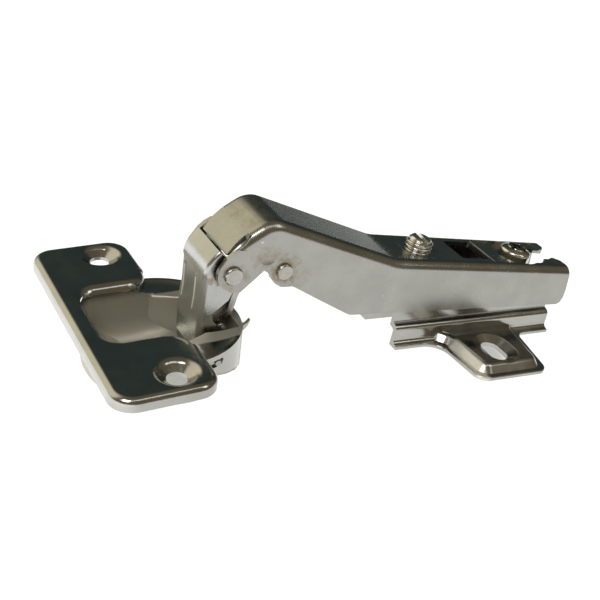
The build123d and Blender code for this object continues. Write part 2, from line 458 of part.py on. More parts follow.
with BuildPart() as hinge_arm:
    with BuildSketch(ARM_SIDE) as shell_side:
        with BuildLine():
            Polyline(*(WEB + [(-71.3, -20), (36, -20)]), close=True)
        make_face()
        fillet([v for v in shell_side.vertices() if abs(v.X - WEB[1][0]) < 0.01], 15)
        fillet([v for v in shell_side.vertices() if abs(v.X - WEB[2][0]) < 0.01], 6.0)
        fillet([v for v in shell_side.vertices() if abs(v.X - WEB[3][0]) < 0.01], 9)
    extrude(amount=ARM_HALF, both=True)
    # rounded folds along both sides of the web
    folds = []
    for e in hinge_arm.edges():
        m = ARM.to_local_coords(e.position_at(0.5))
        if abs(abs(m.Y) - ARM_HALF) < 0.01 and m.Z > -1.85 and m.X < 35.9:
            folds.append(e)
    fillet(folds, ARM_FOLD)
    add(arm_hollow.part, mode=Mode.SUBTRACT)
    # side outline of the cheeks behind the ears
    with BuildSketch(ARM_SIDE):
        with BuildLine():
            Polyline((29.6, 12), (29.9, -0.2), (31.3, -6.2), (31.5, -8.6), (31.0, -10.2), (30.0, -10.7),
                     (-34.6, -14.0), (-35.8, -13.95), (-37.0, -13.5), (-45.0, -10.25), (-52.7, -7.03),
                     (-53.6, -6.78), (-55.0, -6.95), (-56.4, -6.95), (-58.0, -6.25), (-59.3, -5.1), (-59.9, -4.1),
                     (-61.6, -3.0), (-64.2, -6.24), (-66.0, -8.45), (-67.0, -8.75), (-68.4, -8.5),
                     (-90, -8.5), (-90, 12), close=True)
        make_face()
    extrude(amount=20, both=True, mode=Mode.INTERSECT)
    # slits that set the tongue free from the ears
    with BuildSketch(ARM_SIDE.offset(TONGUE_HALF)):
        with BuildLine():
            Polyline((-80, 12), (-66.9, 12), (-66.9, 1.0), (-68.6, 0.2), (-68.6, -20), (-80, -20), close=True)
        make_face()
    extrude(amount=ARM_HALF - ARM_T - TONGUE_HALF, mode=Mode.SUBTRACT)
    with BuildSketch(ARM_SIDE.offset(-TONGUE_HALF)):
        with BuildLine():
            Polyline((-80, 12), (-66.9, 12), (-66.9, 1.0), (-68.6, 0.2), (-68.6, -20), (-80, -20), close=True)
        make_face()
    extrude(amount=TONGUE_HALF + ARM_T - ARM_HALF, mode=Mode.SUBTRACT)
    # upper edges of the ears falling away from the folds
    with BuildSketch(ARM_SIDE.offset(ARM_HALF - ARM_T)):
        with BuildLine():
            Polyline((-80, 12), (-66.0, 12), (-66.4, 4.6), (-67.4, 2.8), (-68.6, 1.4), (-68.6, -20), (-80, -20), close=True)
        make_face()
    extrude(amount=6, mode=Mode.SUBTRACT)
    with BuildSketch(ARM_SIDE.offset(ARM_T - ARM_HALF)):
        with BuildLine():
            Polyline((-80, 12), (-66.0, 12), (-66.4, 4.6), (-67.4, 2.8), (-68.6, 1.4), (-68.6, -20), (-80, -20), close=True)
        make_face()
    extrude(amount=-6, mode=Mode.SUBTRACT)
    # front ears that carry the outer link
    with BuildSketch(ARM_SIDE.offset(ARM_HALF - ARM_T)):
        with BuildLine():
            l1 = Polyline((-69.9, -7.85), (-68.4, -8.6), (-67.0, -8.75), (-66.0, -8.45), (-64.2, -6.24), (-63.0, -4.8),
                          (-64.0, 0.5), (-66.4, 1.3), (-67.6, 1.5), (-68.6, 1.35), (-69.9, 0.4), (-71.0, -0.9), (-71.75, -2.4))
            l2 = ThreePointArc(l1 @ 1, (-72.3, -4.2), l1 @ 0)
        make_face()
    extrude(amount=ARM_T)
    with BuildSketch(ARM_SIDE.offset(-ARM_HALF)):
        with BuildLine():
            l3 = Polyline((-69.9, -7.85), (-68.4, -8.6), (-67.0, -8.75), (-66.0, -8.45), (-64.2, -6.24), (-63.0, -4.8),
                          (-64.0, 0.5), (-66.4, 1.3), (-67.6, 1.5), (-68.6, 1.35), (-69.9, 0.4), (-71.0, -0.9), (-71.75, -2.4))
            l4 = ThreePointArc(l3 @ 1, (-72.3, -4.2), l3 @ 0)
        make_face()
    extrude(amount=ARM_T)
    # rivet holes
    with BuildSketch(ARM_SIDE):
        with Locations(PA):
            Circle(RIVET_A_R)
        with Locations(PB):
            Circle(RIVET_B_R)
    extrude(amount=12, both=True, mode=Mode.SUBTRACT)
    # square window in the web
    with BuildSketch(ARM.offset(-3)) as window_plan:
        with Locations((-0.25, 0)):
            Rectangle(8.5, 9.0)
        fillet(window_plan.vertices(), 0.8)
    extrude(amount=5, mode=Mode.SUBTRACT)
    # shallow dish and hole of the adjusting screw
    with BuildSketch(ARM_SIDE):
        with BuildLine():
            Polyline((ADJ_X, -0.35), (ADJ_X + 4.3, -0.35), (ADJ_X + 5.6, 0.05), (ADJ_X + 5.6, 1), (ADJ_X, 1), close=True)
        make_face()
    revolve(axis=Axis(ARM.from_local_coords((ADJ_X, 0, 0)), ARM.z_dir), mode=Mode.SUBTRACT)
    with BuildSketch(ARM.offset(-3)):
        with Locations((ADJ_X, 0)):
            Circle(ADJ_R + RUN)
    extrude(amount=6, mode=Mode.SUBTRACT)
    # rear field of the web set slightly lower, with the screw seat pressed into it
    with BuildSketch(ARM_SIDE):
        with BuildLine():
            Polyline((5.3, 0.0), (5.75, -0.36), (11.0, -0.42), (27.0, -0.42), (27.8, 0.0), (27.8, 1), (5.3, 1), close=True)
        make_face()
    extrude(amount=5.9, both=True, mode=Mode.SUBTRACT)
    with BuildSketch(ARM.offset(SEAT_FLOOR - 1.1)):
        with Locations((CLAMP_X, 0)):
            Circle(6.8)
    extrude(amount=2.0)
    with BuildSketch(ARM_SIDE):
        with BuildLine():
            bowl_arc = Spline((CLAMP_X + 4.3, SEAT_FLOOR), (CLAMP_X + 5.2, -1.25), (CLAMP_X + 6.3, -0.36), tangents=((1, 0), (1, 0.45)))
            Polyline(bowl_arc @ 1, (CLAMP_X + 6.3, 2), (CLAMP_X, 2), (CLAMP_X, SEAT_FLOOR), bowl_arc @ 0)
        make_face()
    revolve(axis=Axis(ARM.from_local_coords((CLAMP_X, 0, 0)), ARM.z_dir), mode=Mode.SUBTRACT)
    # keyhole slot for the clamping screw, open at the rear end
    with BuildSketch(ARM.offset(-3)):
        with BuildLine():
            Polyline((16.7, -2.4), (19.0, -2.4), (36, -2.2), (36, 2.2), (19.0, 2.4), (16.7, 2.4), close=True)
        make_face()
        with Locations((16.4, 0)):
            Circle(2.4)
        with Locations((21.2, 0)):
            Circle(4.7)
        with BuildLine():
            Polyline((28.2, -2.0), (30.6, -4.6), (34, -4.6), (34, 4.6), (30.6, 4.6), (28.2, 2.0), close=True)
        make_face()
    extrude(amount=5, mode=Mode.SUBTRACT)
    # soft dimples between the front ears and the cheeks
    with Locations(ARM.from_local_coords((-61.6, -ARM_HALF - 7.12, 0.6)), ARM.from_local_coords((-61.6, ARM_HALF + 7.12, 0.6))):
        Sphere(7.5, mode=Mode.SUBTRACT)

# ------------------------------------------------------------------- rivets
with BuildPart() as front_arm_rivet:
    with BuildSketch(ARM_SIDE):
        with Locations(PA):
            Circle(RIVET_A_R)
    extrude(amount=ARM_HALF, both=True)
    with BuildSketch(ARM_SIDE.offset(ARM_HALF)):
        with Locations(PA):
            Circle(RIVET_A_HEAD)
    extrude(amount=RIVET_PROUD)
    with BuildSketch(ARM_SIDE.offset(-ARM_HALF)):
        with Locations(PA):
            Circle(RIVET_A_HEAD)
    extrude(amount=-RIVET_PROUD)
    fillet(front_arm_rivet.faces().sort_by(Axis.Y)[0].edges(), 0.45)
    fillet(front_arm_rivet.faces().sort_by(Axis.Y)[-1].edges(), 0.45)

with BuildPart() as rear_arm_rivet:
    with BuildSketch(ARM_SIDE):
        with Locations(PB):
            Circle(RIVET_B_R)
    extrude(amount=ARM_HALF, both=True)
    with BuildSketch(ARM_SIDE.offset(ARM_HALF)):
        with Locations(PB):
            Circle(RIVET_B_HEAD)
    extrude(amount=RIVET_PROUD)
    with BuildSketch(ARM_SIDE.offset(-ARM_HALF)):
        with Locations(PB):
            Circle(RIVET_B_HEAD)
    extrude(amount=-RIVET_PROUD)
    fillet(rear_arm_rivet.faces().sort_by(Axis.Y)[0].edges(), 0.45)
    fillet(rear_arm_rivet.faces().sort_by(Axis.Y)[-1].edges(), 0.45)

# --------------------------------------------------------------- outer link
LINK_WEB = [(5.45, -7.2), (5.6, 0.3), (6.1, 5.1), (6.3, 12.1)]
LINK_IN = offset_path(LINK_WEB, OUT_T)
with BuildPart() as outer_link:
    with BuildSketch(CUP_SIDE):
        with BuildLine():
            Polyline(*(LINK_WEB + [(6.55, 13.2), (9.0, 14.6)] + around(A_C, 3.2, 140, -25, 10)
                       + [(12.3, 5.2), (8.6, 2.4), (9.2, 0.2)] + around(P1, 1.95, 100, -220, 14)
                       + [(7.4, -0.9), (7.3, -6.2), (6.6, -7.2)]), close=True)
        make_face()
    extrude(amount=OUT_HALF, both=True)
    edges = []
    for e in outer_link.edges():
        m = CUP.to_local_coords(e.position_at(0.5))
        if abs(abs(m.Y) - OUT_HALF) < 0.01 and m.X < 6.35 and -7.1 < m.Z < 12.2:
            edges.append(e)
    fillet(edges, 1.5)
    with BuildSketch(CUP_SIDE):
        with BuildLine():
            Polyline(*([(LINK_IN[0][0], -10)] + LINK_IN[1:] + [(7.6, 13.5), (8.6, 20), (30, 20), (30, -10)]), close=True)
        make_face()
    extrude(amount=OUT_HALF - OUT_T, both=True, mode=Mode.SUBTRACT)
    # curved hood over the front pivot
    with BuildSketch(CUP_SIDE):
        with BuildLine():
            h1 = Spline((6.28, 11.6), (6.33, 12.4), (6.6, 13.5), (7.1, 14.7), (7.95, 15.95), (9.4, 17.4))
            h2 = Spline((10.15, 16.6), (8.8, 15.2), (8.05, 14.05), (7.62, 13.0), (7.42, 12.1), (7.38, 11.6))
            Line(h1 @ 1, h2 @ 0)
            Line(h2 @ 1, h1 @ 0)
        make_face()
    extrude(amount=HOOD_HALF, both=True)
    # turned-down side borders of the hood
    with BuildSketch(CUP_SIDE.offset(HOOD_HALF - OUT_T)):
        with BuildLine():
            h3 = Spline((6.28, 11.6), (6.33, 12.4), (6.6, 13.5), (7.1, 14.7), (7.95, 15.95), (9.4, 17.4))
            Polyline(h3 @ 1, (10.75, 16.0), (9.4, 14.7), (8.5, 13.2), (8.1, 11.6), h3 @ 0)
        make_face()
    extrude(amount=OUT_T)
    with BuildSketch(CUP_SIDE.offset(-HOOD_HALF)):
        with BuildLine():
            h4 = Spline((6.28, 11.6), (6.33, 12.4), (6.6, 13.5), (7.1, 14.7), (7.95, 15.95), (9.4, 17.4))
            Polyline(h4 @ 1, (10.75, 16.0), (9.4, 14.7), (8.5, 13.2), (8.1, 11.6), h4 @ 0)
        make_face()
    extrude(amount=OUT_T)
    rims = []
    for e in outer_link.edges():
        m = CUP.to_local_coords(e.position_at(0.5))
        if abs(abs(m.Y) - HOOD_HALF) < 0.01 and 6.4 < m.X < 8.4 and 13.0 < m.Z < 16.2 and e.length > 3:
            rims.append(e)
    fillet(rims, 0.9)
    # two fine raised lines down the web
    with BuildSketch(CUP_SIDE.offset(1.95)):
        with BuildLine():
            Polyline((5.5, 2.0), (5.82, 5.15), (5.98, 10.6), (6.5, 10.6), (6.4, 5.1), (6.1, 2.0), close=True)
        make_face()
    extrude(amount=0.5)
    with BuildSketch(CUP_SIDE.offset(-4.05)):
        with BuildLine():
            Polyline((5.5, 2.0), (5.82, 5.15), (5.98, 10.6), (6.5, 10.6), (6.4, 5.1), (6.1, 2.0), close=True)
        make_face()
    extrude(amount=0.5)
    ridges = []
    for e in outer_link.edges():
        m = CUP.to_local_coords(e.position_at(0.5))
        w = 5.82 + (m.Z - 5.15) * (0.16 / 5.45 if m.Z > 5.15 else 0.32 / 3.15)
        if abs(m.X - w) < 0.02 and 2.2 < m.Z < 10.4 and e.length > 2.5 and abs(m.Y) < 4.5:
            ridges.append(e)
    chamfer(ridges, 0.22)
    with BuildSketch(CUP_SIDE):
        with Locations(A_C):
            Circle(RIVET_A_R + RUN)
        with Locations(P1):
            Circle(AXLE1_R + RUN)
    extrude(amount=10, both=True, mode=Mode.SUBTRACT)

# --------------------------------------------------------------- inner link
IN_PATH = [(10.05, -5.9), (9.72, -4.6), (9.95, -3.2), (10.9, -2.15), (12.5, -1.55), (14.0, -0.4), (15.3, 3.3),
           (17.3, 7.6), (20.0, 10.6), (21.6, 11.4)]
IN_L = offset_path(IN_PATH, -0.75)
IN_R = offset_path(IN_PATH, 0.75)
with BuildPart() as inner_link:
    with BuildSketch(CUP_SIDE):
        with BuildLine():
            s1 = Spline(*IN_L)
            s2 = Spline(*IN_R)
            Line(s1 @ 0, s2 @ 0)
            Line(s1 @ 1, s2 @ 1)
        make_face()
        with Locations(P2):
            Circle(1.65)
        with Locations(B_C):
            Circle(3.2)
    extrude(amount=IN_HALF, both=True)
    with BuildSketch(CUP_SIDE):
        with Locations(P2):
            Circle(AXLE2_R + RUN)
        with Locations(B_C):
            Circle(EYE_B_BORE)
    extrude(amount=10, both=True, mode=Mode.SUBTRACT)

# ------------------------------------------------------------ closing spring
with BuildPart() as closing_spring:
    with BuildLine() as coil_line:
        Helix(pitch=0.86, height=1.3, radius=1.56,
              center=CUP_SIDE.from_local_coords((P1[0], P1[1], 3.5)), direction=(0, -1, 0))
    with BuildSketch(Plane(origin=coil_line.line @ 0, z_dir=coil_line.line % 0)):
        Circle(0.4)
    sweep()
    with BuildLine() as coil_line2:
        Helix(pitch=0.86, height=1.3, radius=1.56,
              center=CUP_SIDE.from_local_coords((P1[0], P1[1], -3.5)), direction=(0, 1, 0))
    with BuildSketch(Plane(origin=coil_line2.line @ 0, z_dir=coil_line2.line % 0)):
        Circle(0.4)
    sweep()

# ------------------------------------------------------------ adjusting screw
with BuildPart() as adjusting_screw:
    with BuildSketch(ARM.offset(ADJ_TOP)):
        with Locations((ADJ_X, 0)):
            Circle(ADJ_R)
    extrude(amount=ADJ_BOTTOM - ADJ_TOP)
    chamfer(adjusting_screw.faces().sort_by(Axis(ARM.origin, ARM.z_dir))[-1].edges(), 0.4)
    chamfer(adjusting_screw.faces().sort_by(Axis(ARM.origin, ARM.z_dir))[0].edges(), 0.6)
    with BuildSketch(ARM.offset(ADJ_TOP)):
        with Locations((ADJ_X, 0)):
            Rectangle(1.1, 8, rotation=-10)
    extrude(amount=-1.3, mode=Mode.SUBTRACT)

# ------------------------------------------------------------ clamping screw
with BuildPart() as clamping_screw:
    with BuildSketch(ARM_SIDE):
        with BuildLine():
            dome = Spline((CLAMP_X + CLAMP_HEAD_R, 0.15), (CLAMP_X + 3.7, 0.85), (CLAMP_X + 2.6, 1.4), (CLAMP_X, CLAMP_TOP + 0.25),
                          tangents=((0, 1), (-1, 0)))
            Polyline(dome @ 1, (CLAMP_X, CLAMP_SEAT), (CLAMP_X + CLAMP_HEAD_R - 0.35, CLAMP_SEAT),
                     (CLAMP_X + CLAMP_HEAD_R, CLAMP_SEAT + 0.35), dome @ 0)
        make_face()
    revolve(axis=Axis(ARM.from_local_coords((CLAMP_X, 0, 0)), ARM.z_dir))
    with BuildSketch(ARM.offset(CLAMP_SEAT)):
        with Locations((CLAMP_X, 0)):
            Circle(CLAMP_R)
    extrude(amount=-9.05)
    with BuildSketch(ARM.offset(CLAMP_TOP + 0.5)):
        with Locations((CLAMP_X, 0)):
            Rectangle(5.2, 1.15, rotation=20)
            Rectangle(1.15, 5.2, rotation=20)
    extrude(amount=-2.0, mode=Mode.SUBTRACT)

# ------------------------------------------------------------ mounting plate
# wing corners on the near side: root left, tip left, tip right, root right
FOOT = [(-12.0, -8.6), (-10.9, -25.4), (10.3, -25.5), (13.8, -8.6)]
FIELD = [(-11.0, -7.2), (-10.0, -24.5), (9.5, -24.6), (12.8, -7.2)]
UNDER = [(-9.2, -5.0), (-8.3, -22.8), (7.8, -22.9), (11.1, -5.0)]

with BuildPart() as mounting_plate:
    # foot: thin flat border running round both wings and the rail
    with BuildSketch(Plane.XY) as foot_plan:
        with BuildLine():
            Polyline((RAIL_X0, -8.6), *FOOT, (RAIL_X1, -8.6), (RAIL_X1, 8.6), *[(x, -y) for x, y in FOOT[::-1]],
                     (RAIL_X0, 8.6), close=True)
        make_face()
        fillet([v for v in foot_plan.vertices() if abs(v.Y) < 9 and -13 < v.X < -11], 5.0)
        fillet([v for v in foot_plan.vertices() if abs(v.Y) < 9 and 13 < v.X < 15], 3.0)
        fillet([v for v in foot_plan.vertices() if abs(v.Y) > 20], 3.2)
    extrude(amount=FOOT_T)
    fillet(mounting_plate.faces().sort_by(Axis.Z)[-1].edges(), 0.35)
    # raised field of the wings with sloping sides
    with BuildSketch(Plane.XY.offset(0.4)) as field_plan:
        with BuildLine():
            Polyline((-18, -7.2), *FIELD, (18, -7.2), (18, 7.2), *[(x, -y) for x, y in FIELD[::-1]], (-18, 7.2), close=True)
        make_face()
        fillet([v for v in field_plan.vertices() if abs(v.Y) < 9 and -13 < v.X < -10], 5.0)
        fillet([v for v in field_plan.vertices() if abs(v.Y) < 9 and 11 < v.X < 15], 3.5)
        fillet([v for v in field_plan.vertices() if abs(v.Y) > 20], 3.8)
    extrude(amount=WING_TOP - 0.4, taper=40)
    fillet([e for e in mounting_plate.faces().sort_by(Axis.Z)[-1].edges() if abs(e.position_at(0.5).Y) > 7], 1.5)
    # hollow underside of the wings
    with BuildSketch(Plane.XY):
        with BuildLine():
            Polyline(*UNDER, close=True)
        make_face()
        with BuildLine():
            Polyline(*[(x, -y) for x, y in UNDER], close=True)
        make_face()
    extrude(amount=WING_TOP - PLATE_T, mode=Mode.SUBTRACT)
    # rail: stepped inverted channel with rounded shoulders and a flared foot
    with BuildSketch(Plane.YZ.offset(RAIL_X0)) as rail_section:
        with BuildLine():
            Polyline((-8.2, 0), (-8.2, FOOT_T - 0.02), (-RAIL_WALL_HALF, FOOT_T - 0.02), (-RAIL_WALL_HALF, 5.5), (-RAIL_HALF, 5.85),
                     (-RAIL_HALF, RAIL_TOP), (RAIL_HALF, RAIL_TOP), (RAIL_HALF, 5.85), (RAIL_WALL_HALF, 5.5),
                     (RAIL_WALL_HALF, FOOT_T - 0.02), (8.2, FOOT_T - 0.02), (8.2, 0), close=True)
        make_face()
        fillet([v for v in rail_section.vertices() if abs(v.Y - 0.93) < 0.01 and abs(v.X) < 7.5], 1.15)
        fillet([v for v in rail_section.vertices() if abs(v.Y - 5.5) < 0.01], 1.4)
        fillet([v for v in rail_section.vertices() if abs(v.Y - 5.85) < 0.01], 0.25)
        fillet([v for v in rail_section.vertices() if abs(v.Y - RAIL_TOP) < 0.01], 0.9)
    extrude(amount=RAIL_X1 - RAIL_X0)
    with BuildSketch(Plane.YZ.offset(RAIL_X0 - 1)):
        with BuildLine():
            Polyline((-5.8, -1), (-5.8, 4.0), (-5.4, 4.4), (-4.1, 4.7), (-4.1, RAIL_TOP - PLATE_T), (4.1, RAIL_TOP - PLATE_T),
                     (4.1, 4.7), (5.4, 4.4), (5.8, 4.0), (5.8, -1), close=True)
        make_face()
    extrude(amount=RAIL_X1 - RAIL_X0 + 2, mode=Mode.SUBTRACT)
    # screw slots in a pressed oval dish
    with BuildSketch(Plane.XY.offset(0.5)):
        with Locations((0, SLOT_PITCH_HALF), (0, -SLOT_PITCH_HALF)):
            SlotOverall(SLOT_L + 3.0, SLOT_W + 3.0, rotation=90)
    extrude(amount=1.3, taper=-55)
    with BuildSketch(Plane.XY.offset(1.6)):
        with Locations((0, SLOT_PITCH_HALF), (0, -SLOT_PITCH_HALF)):
            SlotOverall(SLOT_L + 0.5, SLOT_W + 0.5, rotation=90)
    extrude(amount=1.3, taper=-58, mode=Mode.SUBTRACT)
    dish_rims = []
    for e in mounting_plate.edges():
        m = e.position_at(0.5)
        if abs(m.Z - WING_TOP) < 0.01 and abs(m.X) < 6 and 8.3 < abs(m.Y) < 23.5:
            dish_rims.append(e)
    fillet(dish_rims, 1.0)
    with BuildSketch(Plane.XY.offset(-1)) as slots:
        with Locations((0, SLOT_PITCH_HALF), (0, -SLOT_PITCH_HALF)):
            SlotOverall(SLOT_L, SLOT_W, rotation=90)
    extrude(amount=6, mode=Mode.SUBTRACT)
    # hole that takes the clamping screw
    with BuildSketch(ARM.offset(-14)):
        with Locations((CLAMP_X, 0)):
            Circle(CLAMP_R + RUN)
    extrude(amount=9, mode=Mode.SUBTRACT)

os.makedirs("parts", exist_ok=True)
hinge_cup.part.label = "hinge_cup"
export_step(hinge_cup.part, "parts/hinge_cup.step")
anchor_pins.part.label = "anchor_pins"
export_step(anchor_pins.part, "parts/anchor_pins.step")
outer_link_axle.part.label = "outer_link_axle"
export_step(outer_link_axle.part, "parts/outer_link_axle.step")
inner_link_axle.part.label = "inner_link_axle"
export_step(inner_link_axle.part, "parts/inner_link_axle.step")
hinge_arm.part.label = "hinge_arm"
export_step(hinge_arm.part, "parts/hinge_arm.step")
front_arm_rivet.part.label = "front_arm_rivet"
export_step(front_arm_rivet.part, "parts/front_arm_rivet.step")
rear_arm_rivet.part.label = "rear_arm_rivet"
export_step(rear_arm_rivet.part, "parts/rear_arm_rivet.step")
outer_link.part.label = "outer_link"
export_step(outer_link.part, "parts/outer_link.step")
inner_link.part.label = "inner_link"
export_step(inner_link.part, "parts/inner_link.step")
closing_spring.part.label = "closing_spring"
export_step(closing_spring.part, "parts/closing_spring.step")
adjusting_screw.part.label = "adjusting_screw"
export_step(adjusting_screw.part, "parts/adjusting_screw.step")
clamping_screw.part.label = "clamping_screw"
export_step(clamping_screw.part, "parts/clamping_screw.step")
mounting_plate.part.label = "mounting_plate"
export_step(mounting_plate.part, "parts/mounting_plate.step")
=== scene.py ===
import bpy
import bmesh
import math
from mathutils import Matrix, Vector


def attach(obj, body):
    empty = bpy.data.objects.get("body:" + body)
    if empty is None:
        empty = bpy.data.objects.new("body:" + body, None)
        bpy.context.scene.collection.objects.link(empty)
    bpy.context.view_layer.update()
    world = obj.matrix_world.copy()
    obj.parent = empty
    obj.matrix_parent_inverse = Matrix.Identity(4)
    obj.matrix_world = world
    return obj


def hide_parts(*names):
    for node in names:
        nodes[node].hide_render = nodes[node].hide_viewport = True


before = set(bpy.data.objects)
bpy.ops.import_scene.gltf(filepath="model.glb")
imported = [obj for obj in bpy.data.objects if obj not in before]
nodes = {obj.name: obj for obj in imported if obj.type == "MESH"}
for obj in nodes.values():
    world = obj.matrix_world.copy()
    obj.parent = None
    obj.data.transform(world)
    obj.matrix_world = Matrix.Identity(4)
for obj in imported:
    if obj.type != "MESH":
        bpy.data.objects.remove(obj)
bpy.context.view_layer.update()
scene = bpy.context.scene

# ---------------------------------------------------------------- frames of the pressed pieces (metres)
ct, st = math.cos(math.radians(5.227)), math.sin(math.radians(5.227))
at, bt = math.cos(math.radians(-5.491)), math.sin(math.radians(-5.491))


def cup(x, y, z):
    return Vector((-83.68 + ct * x - st * z, y, 10.52 + st * x + ct * z)) / 1000


def arm(x, y, z):
    return Vector((-4.0 + at * x - bt * z, y, 21.86 + bt * x + at * z)) / 1000


# ---------------------------------------------------------------- node helpers
class Mat:
    def __init__(self, name):
        self.m = bpy.data.materials.new(name)
        self.m.use_nodes = True
        self.t = self.m.node_tree
        self.t.nodes.clear()
        self.out = self.t.nodes.new("ShaderNodeOutputMaterial")
        self.co = self.t.nodes.new("ShaderNodeTexCoord").outputs["Object"]

    def n(self, kind, **kw):
        node = self.t.nodes.new(kind)
        for k, v in kw.items():
            setattr(node, k, v)
        return node

    def link(self, a, b):
        self.t.links.new(a, b)

    def put(self, socket, v):
        if isinstance(v, bpy.types.NodeSocket):
            self.link(v, socket)
        else:
            socket.default_value = v

    def math(self, op, a, b=0.0, c=0.0, clamp=False):
        n = self.n("ShaderNodeMath", operation=op, use_clamp=clamp)
        self.put(n.inputs[0], a)
        self.put(n.inputs[1], b)
        self.put(n.inputs[2], c)
        return n.outputs[0]

    def mapr(self, v, a, b, c=0.0, d=1.0, smooth=True):
        n = self.n("ShaderNodeMapRange", interpolation_type="SMOOTHSTEP" if smooth else "LINEAR")
        self.put(n.inputs[0], v)
        for i, x in enumerate((a, b, c, d)):
            n.inputs[1 + i].default_value = x
        return n.outputs[0]

    def scaled(self, sx, sy, sz, off=(0, 0, 0)):
        n = self.n("ShaderNodeMapping")
        self.link(self.co, n.inputs[0])
        n.inputs["Location"].default_value = off
        n.inputs["Scale"].default_value = (sx, sy, sz)
        return n.outputs[0]

    def noise(self, vec, scale, detail=3.0, rough=0.55, dist=0.0):
        n = self.n("ShaderNodeTexNoise")
        self.link(vec, n.inputs["Vector"])
        n.inputs["Scale"].default_value = scale
        n.inputs["Detail"].default_value = detail
        n.inputs["Roughness"].default_value = rough
        n.inputs["Distortion"].default_value = dist
        return n.outputs["Fac"]

    def mix(self, f, a, b):
        n = self.n("ShaderNodeMix", data_type="RGBA")
        self.put(n.inputs[0], f)
        self.put(n.inputs[6], a)
        self.put(n.inputs[7], b)
        return n.outputs[2]

    def dist(self, p):
        n = self.n("ShaderNodeVectorMath", operation="DISTANCE")
        self.link(self.co, n.inputs[0])
        n.inputs[1].default_value = p
        return n.outputs["Value"]


